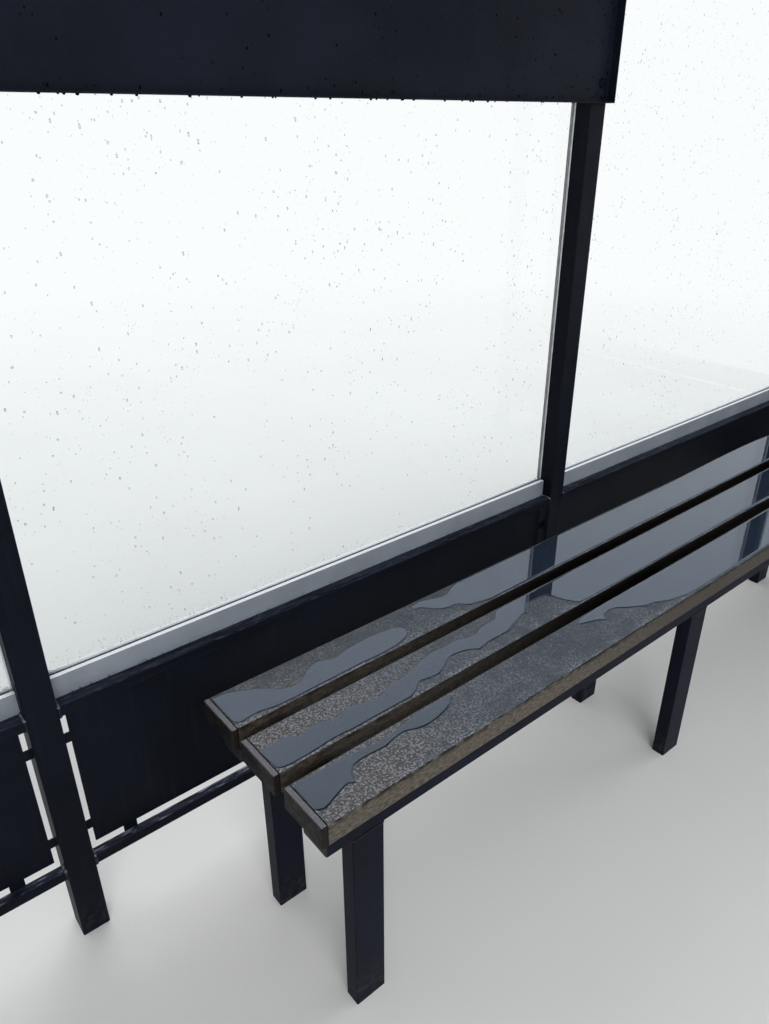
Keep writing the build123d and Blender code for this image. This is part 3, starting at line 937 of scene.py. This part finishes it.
class SHELTER_OT_tray(ShelterOperator, bpy.types.Operator):
    """Finish the information tray and add its bolts and drops"""

    bl_idname = "shelter.tray"
    bl_label = "Information Tray"

    bolt_inset = 35 * MM
    sheet = 2 * MM
    # Radii and heights of a bolt's head over its washer, in radii of the head.
    bolt_head = ((1.1, 0.01), (1.1, 0.14), (1.0, 0.16), (0.97, 0.3), (0.82, 0.52), (0.55, 0.64),
                 (0.42, 0.66), (0.4, 0.4))

    def execute(self, context):
        colours = self.colours
        paint = material("satin_powder_coated_tray", powder_coat, colours, colours.tray, UPRIGHT)
        dress(["info_tray"], paint)
        low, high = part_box("info_tray")
        face = high.y - self.sheet
        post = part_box("back_post_2")
        side = (post[1].x - post[0].x) / 2
        radius = self.sizes.bolt / 2
        rings = [(r * radius, h * radius) for r, h in self.bolt_head]
        bolts = []
        for x in (low.x + side, high.x - side):
            for z in (low.z + self.bolt_inset, high.z - self.bolt_inset):
                bolts.append(turned(Vector((x, face, z)), X, UP, -Y, rings, 20))
        # The bolts take the darker frame paint: painted shade that stands for the shadow round their heads.
        dark = material("satin_powder_coated_bolts", powder_coat, colours, colours.frame, UPRIGHT)
        piece("tray_bolts", bolts, dark)
        rain = material("rain_water_on_paint", beaded_rain, "030406", "07080c", 0.08)
        piece("tray_raindrops", self.drops(low, high, face), rain)
        return {"FINISHED"}

    def drops(self, low, high, face):
        """Drops on the tray's face, and drops that hang from its lower edge."""
        chance = random.Random(77)
        drops = []
        for _ in range(self.sizes.tray_drops):
            x = high.x - 10 * MM - (high.x - low.x - 20 * MM) * chance.random() ** 3
            z = low.z + 8 * MM + (high.z - low.z - 20 * MM) * chance.random() ** 2
            wide = (0.8 + 1.3 * chance.random() ** 2) * MM
            drops.append(bead(Vector((x, face - 0.03 * MM, z)), X, UP, -Y, wide, wide * 1.3, wide * 0.5))
        for _ in range(self.sizes.hanging_drops):
            x = chance.uniform(low.x + 5 * MM, high.x - 5 * MM)
            spot = Vector((x, low.y + chance.uniform(2, 8) * MM, low.z - 0.03 * MM))
            wide = chance.uniform(1.6, 2.9) * MM
            drops.append(bead(spot, X, Y, -UP, wide, wide * 0.8, wide))
        return drops


class SHELTER_OT_roof(ShelterOperator, bpy.types.Operator):
    """Finish the roof sheet and add its screws"""

    bl_idname = "shelter.roof"
    bl_label = "Roof"

    rib_pitch = 190 * MM
    rib_count = 20
    rib_height = 25 * MM
    sheet = 1.2 * MM

    def screw(self, foot):
        """A hexagon head with a flange, as two parts."""
        radius = self.sizes.screw / math.sqrt(3)
        flange = [(radius * r, h * MM) for r, h in ((1.45, 1.3), (1.4, 1.9), (1.2, 2.1))]
        head = [(radius * r, h * MM) for r, h in ((1.0, 2.15), (1.0, 5.4), (0.85, 6.0))]
        return [turned(foot, X, Y, UP, flange), turned(foot, X, Y, UP, head, 6)]

    def washer(self, foot):
        """A sealing washer that bulges under the flange."""
        radius = self.sizes.screw
        rings = [(radius * r, h * MM) for r, h in ((0.9, 0.1), (0.95, 0.5), (0.9, 1.0), (0.75, 1.25))]
        return turned(foot, X, Y, UP, rings)

    def execute(self, context):
        dress(["roof_sheet"], material("zinc_coated_steel_sheet", zinc_coated_sheet, self.colours))
        low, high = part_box("roof_sheet")
        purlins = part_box("roof_purlins")
        fall = (high.z - low.z - self.rib_height - self.sheet) / (high.y - low.y)
        reach = (purlins[1].y - purlins[0].y) / 2 - 25 * MM
        feet = []
        for i in range(self.rib_count):
            x = (i - (self.rib_count - 1) / 2) * self.rib_pitch
            feet += [Vector((x, y, high.z - (y - low.y) * fall)) for y in (-reach, 0.0, reach)]
        steel = material("zinc_plated_screws", plated_steel)
        screws = [part for foot in feet for part in self.screw(foot)]
        piece("roof_screws", screws, steel, smooth=False)
        rubber = bpy.data.materials["extruded_epdm_rubber"]
        piece("roof_washers", [self.washer(foot) for foot in feet], rubber)
        return {"FINISHED"}


class SHELTER_OT_stage(ShelterOperator, bpy.types.Operator):
    """Add the floor, the light and the camera"""

    bl_idname = "shelter.stage"
    bl_label = "Stage"

    image_height = 1024
    focal_pixels = 771.5
    camera_place = (-0.801, -0.471, 1.344)
    camera_yaw = 39.2
    camera_pitch = -26.74
    camera_roll = -0.23

    def floor(self):
        """A plain floor that reaches far past the shelter."""
        half = 30.0
        mesh = bpy.data.meshes.new("studio_floor")
        corners = [(-half, -half, 0), (half, -half, 0), (half, half, 0), (-half, half, 0)]
        mesh.from_pydata(corners, [], [(0, 1, 2, 3)])
        mesh.materials.append(material("matt_floor_paint", studio_floor, self.colours, over=fades_out))
        ground = bpy.data.objects.new("studio_floor", mesh)
        bpy.context.scene.collection.objects.link(ground)

    def world(self):
        """Plain soft light, with white for the camera, gloss and glass."""
        made = bpy.data.worlds.new("studio_world")
        made.use_nodes = True
        tree = made.node_tree
        tree.nodes.clear()
        soft = node(tree, "Background", {"Color": linear("f0f3f8"), "Strength": 0.95})
        white = node(tree, "Background", {"Color": linear("ffffff"), "Strength": 1.0})
        mixed = node(tree, "MixShader", {0: seen_share(tree), 1: soft, 2: white})
        node(tree, "OutputWorld", {"Surface": mixed})
        bpy.context.scene.world = made

    def softbox(self, name, place, aim, size, watts):
        """A large lamp that lights the object but doesn't show in its gloss."""
        data = bpy.data.lights.new(name, "AREA")
        data.shape = "RECTANGLE"
        data.size, data.size_y = size
        data.energy = watts
        lamp = bpy.data.objects.new(name, data)
        lamp.location = place
        lamp.rotation_euler = (Vector(aim) - Vector(place)).to_track_quat("-Z", "Y").to_euler()
        lamp.visible_glossy = False
        lamp.visible_transmission = False
        bpy.context.scene.collection.objects.link(lamp)

    def camera(self):
        """The photograph's viewpoint."""
        data = bpy.data.cameras.new("photo_camera")
        data.lens = self.focal_pixels / self.image_height * data.sensor_width
        data.clip_start = 0.05
        camera = bpy.data.objects.new("photo_camera", data)
        camera.location = self.camera_place
        yaw = Matrix.Rotation(-math.radians(self.camera_yaw), 4, "Z")
        pitch = Matrix.Rotation(math.radians(90 + self.camera_pitch), 4, "X")
        roll = Matrix.Rotation(math.radians(self.camera_roll), 4, "Z")
        camera.rotation_euler = (yaw @ pitch @ roll).to_euler()
        bpy.context.scene.collection.objects.link(camera)
        bpy.context.scene.camera = camera

    def execute(self, context):
        self.floor()
        self.world()
        self.softbox("front_softbox", (-2.6, -5.2, 3.6), (0.2, 0.2, 0.6), (4.5, 3.0), 240)
        self.softbox("back_softbox", (1.5, 5.6, 4.2), (0.0, 0.2, 0.6), (5.0, 3.0), 120)
        self.softbox("side_softbox", (6.5, -1.5, 3.6), (0.4, 0.1, 0.6), (3.5, 3.0), 120)
        self.camera()
        context.scene.view_settings.view_transform = "Standard"
        return {"FINISHED"}


STEPS = (
    SHELTER_OT_frame,
    SHELTER_OT_glazing,
    SHELTER_OT_rain,
    SHELTER_OT_bench,
    SHELTER_OT_tray,
    SHELTER_OT_roof,
    SHELTER_OT_stage,
)


class VIEW3D_PT_shelter(bpy.types.Panel):
    """Steps that finish the shelter"""

    bl_label = "Bus Shelter"
    bl_space_type = "VIEW_3D"
    bl_region_type = "UI"
    bl_category = "Shelter"

    def draw(self, context):
        for step in STEPS:
            self.layout.operator(step.bl_idname)
        for group in (context.scene.shelter_colours, context.scene.shelter_sizes):
            box = self.layout.box()
            for name in type(group).__annotations__:
                box.prop(group, name)


CLASSES = (ShelterColours, ShelterSizes, *STEPS, VIEW3D_PT_shelter)


def register():
    for kind in CLASSES:
        bpy.utils.register_class(kind)
    bpy.types.Scene.shelter_colours = bpy.props.PointerProperty(type=ShelterColours)
    bpy.types.Scene.shelter_sizes = bpy.props.PointerProperty(type=ShelterSizes)


def unregister():
    del bpy.types.Scene.shelter_sizes
    del bpy.types.Scene.shelter_colours
    for kind in reversed(CLASSES):
        bpy.utils.unregister_class(kind)


def main():
    register()
    for step in STEPS:
        family, action = step.bl_idname.split(".")
        getattr(getattr(bpy.ops, family), action)()


if __name__ == "__main__":
    main()
